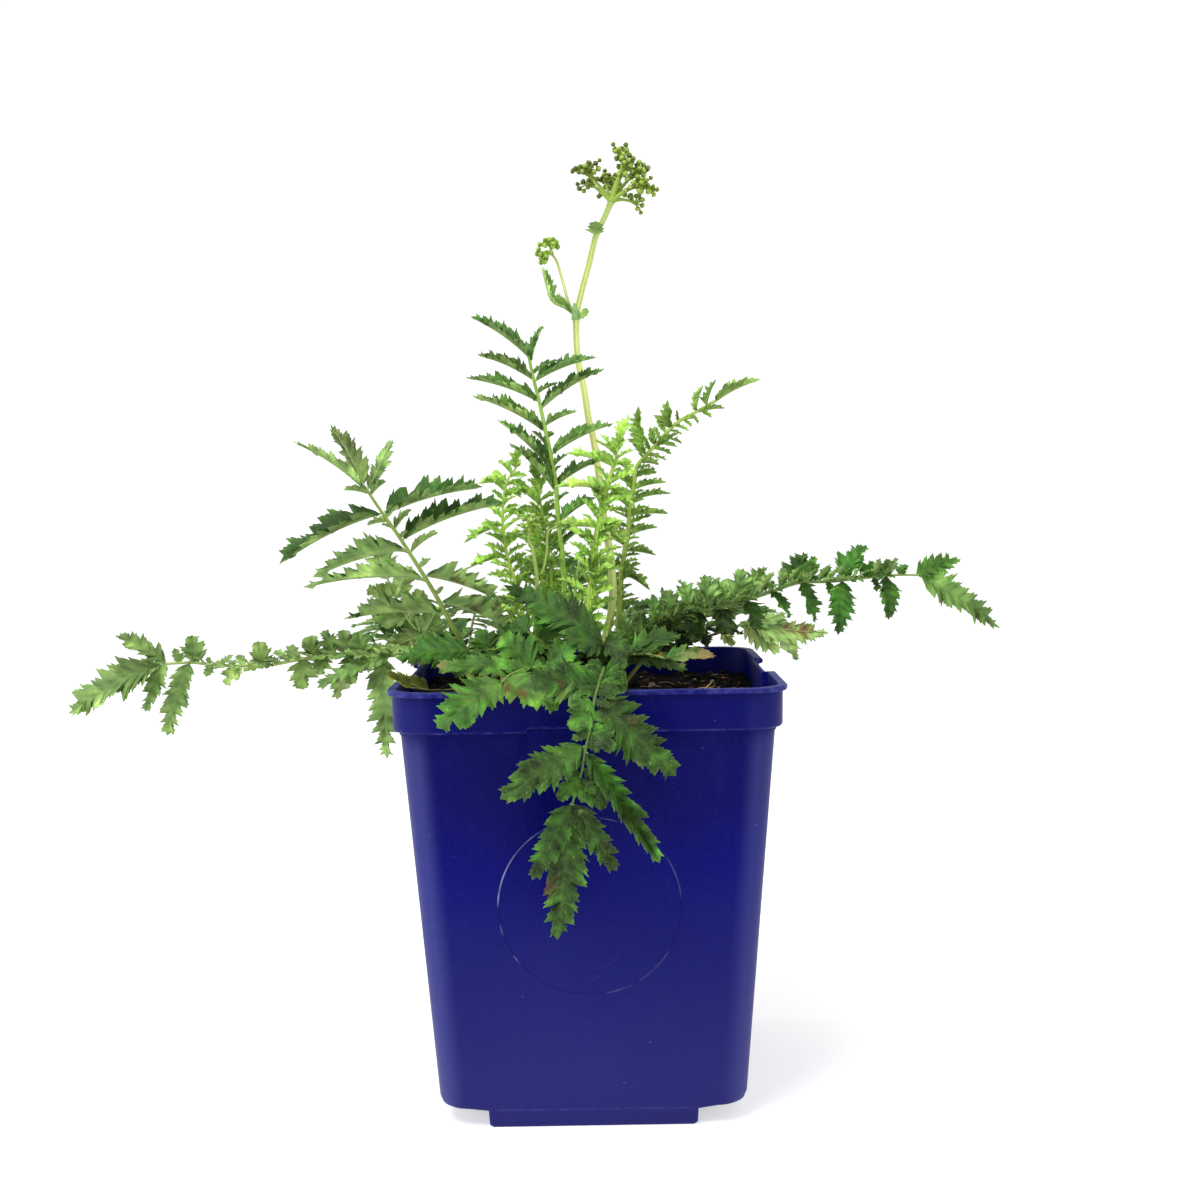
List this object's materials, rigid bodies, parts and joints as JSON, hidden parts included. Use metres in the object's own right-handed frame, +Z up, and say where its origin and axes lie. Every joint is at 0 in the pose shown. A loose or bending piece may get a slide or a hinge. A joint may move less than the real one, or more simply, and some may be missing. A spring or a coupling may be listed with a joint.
{
  "type": "potted meadowsweet",
  "caption": "Herbaceous perennial with toothed compound leaves and budding flower stems, growing in a square nursery pot.",
  "frame": {"origin": "on the ground plane, under the middle of the square pot", "axes": "+Z up; the front of the pot looks along -Y; X runs across the front of the pot, towards the longer right-hand leaf"},
  "size_m": [0.388, 0.2584, 0.3891],
  "materials": {
    "pot_plastic": "satin moulded plastic",
    "soil": "dark moist peat",
    "crown": "rough bark",
    "stem": "smooth ribbed green stalk",
    "buds": "waxy",
    "leaf_green": "matt leaf",
    "leaf_young": "matt young leaf",
    "leaf_yellow": "yellowing leaf"
  },
  "bodies": {
    "root": {"pot": "pot_plastic", "potting_soil": "soil", "root_crown": "crown", "flower_stem": "stem", "side_flower_stem": "stem", "young_flower_stem": "stem", "young_side_shoot": "stem", "main_bud_head": "buds", "side_bud_head": "buds", "young_bud_head": "buds", "stem_bract_large": "leaf_green", "stem_bract_small": "leaf_green", "upper_bract": "leaf_green", "leaf_tall": "leaf_green", "leaf_young_centre": "leaf_young", "leaf_upper_right": "leaf_young", "leaf_young_left": "leaf_young", "leaf_left_arching": "leaf_green", "leaf_long_left": "leaf_green", "leaf_long_right": "leaf_green", "leaf_drooping_front": "leaf_green", "leaf_front_left": "leaf_green", "leaf_front_centre": "leaf_green", "leaf_low_left": "leaf_green", "leaf_low_back_left": "leaf_green", "leaf_right_front": "leaf_green", "leaf_right_pale": "leaf_green", "leaf_yellowing": "leaf_yellow", "leaf_back_left": "leaf_green", "leaf_back_middle": "leaf_green", "leaf_back_right": "leaf_green", "leaf_back_far_left": "leaf_green", "leaf_back_far_right": "leaf_green", "leaf_back_young": "leaf_young", "leaf_left_pale": "leaf_green", "leaf_right_dark": "leaf_green", "leaf_front_low": "leaf_green", "leaf_young_middle": "leaf_young"}
  },
  "joints": []
}
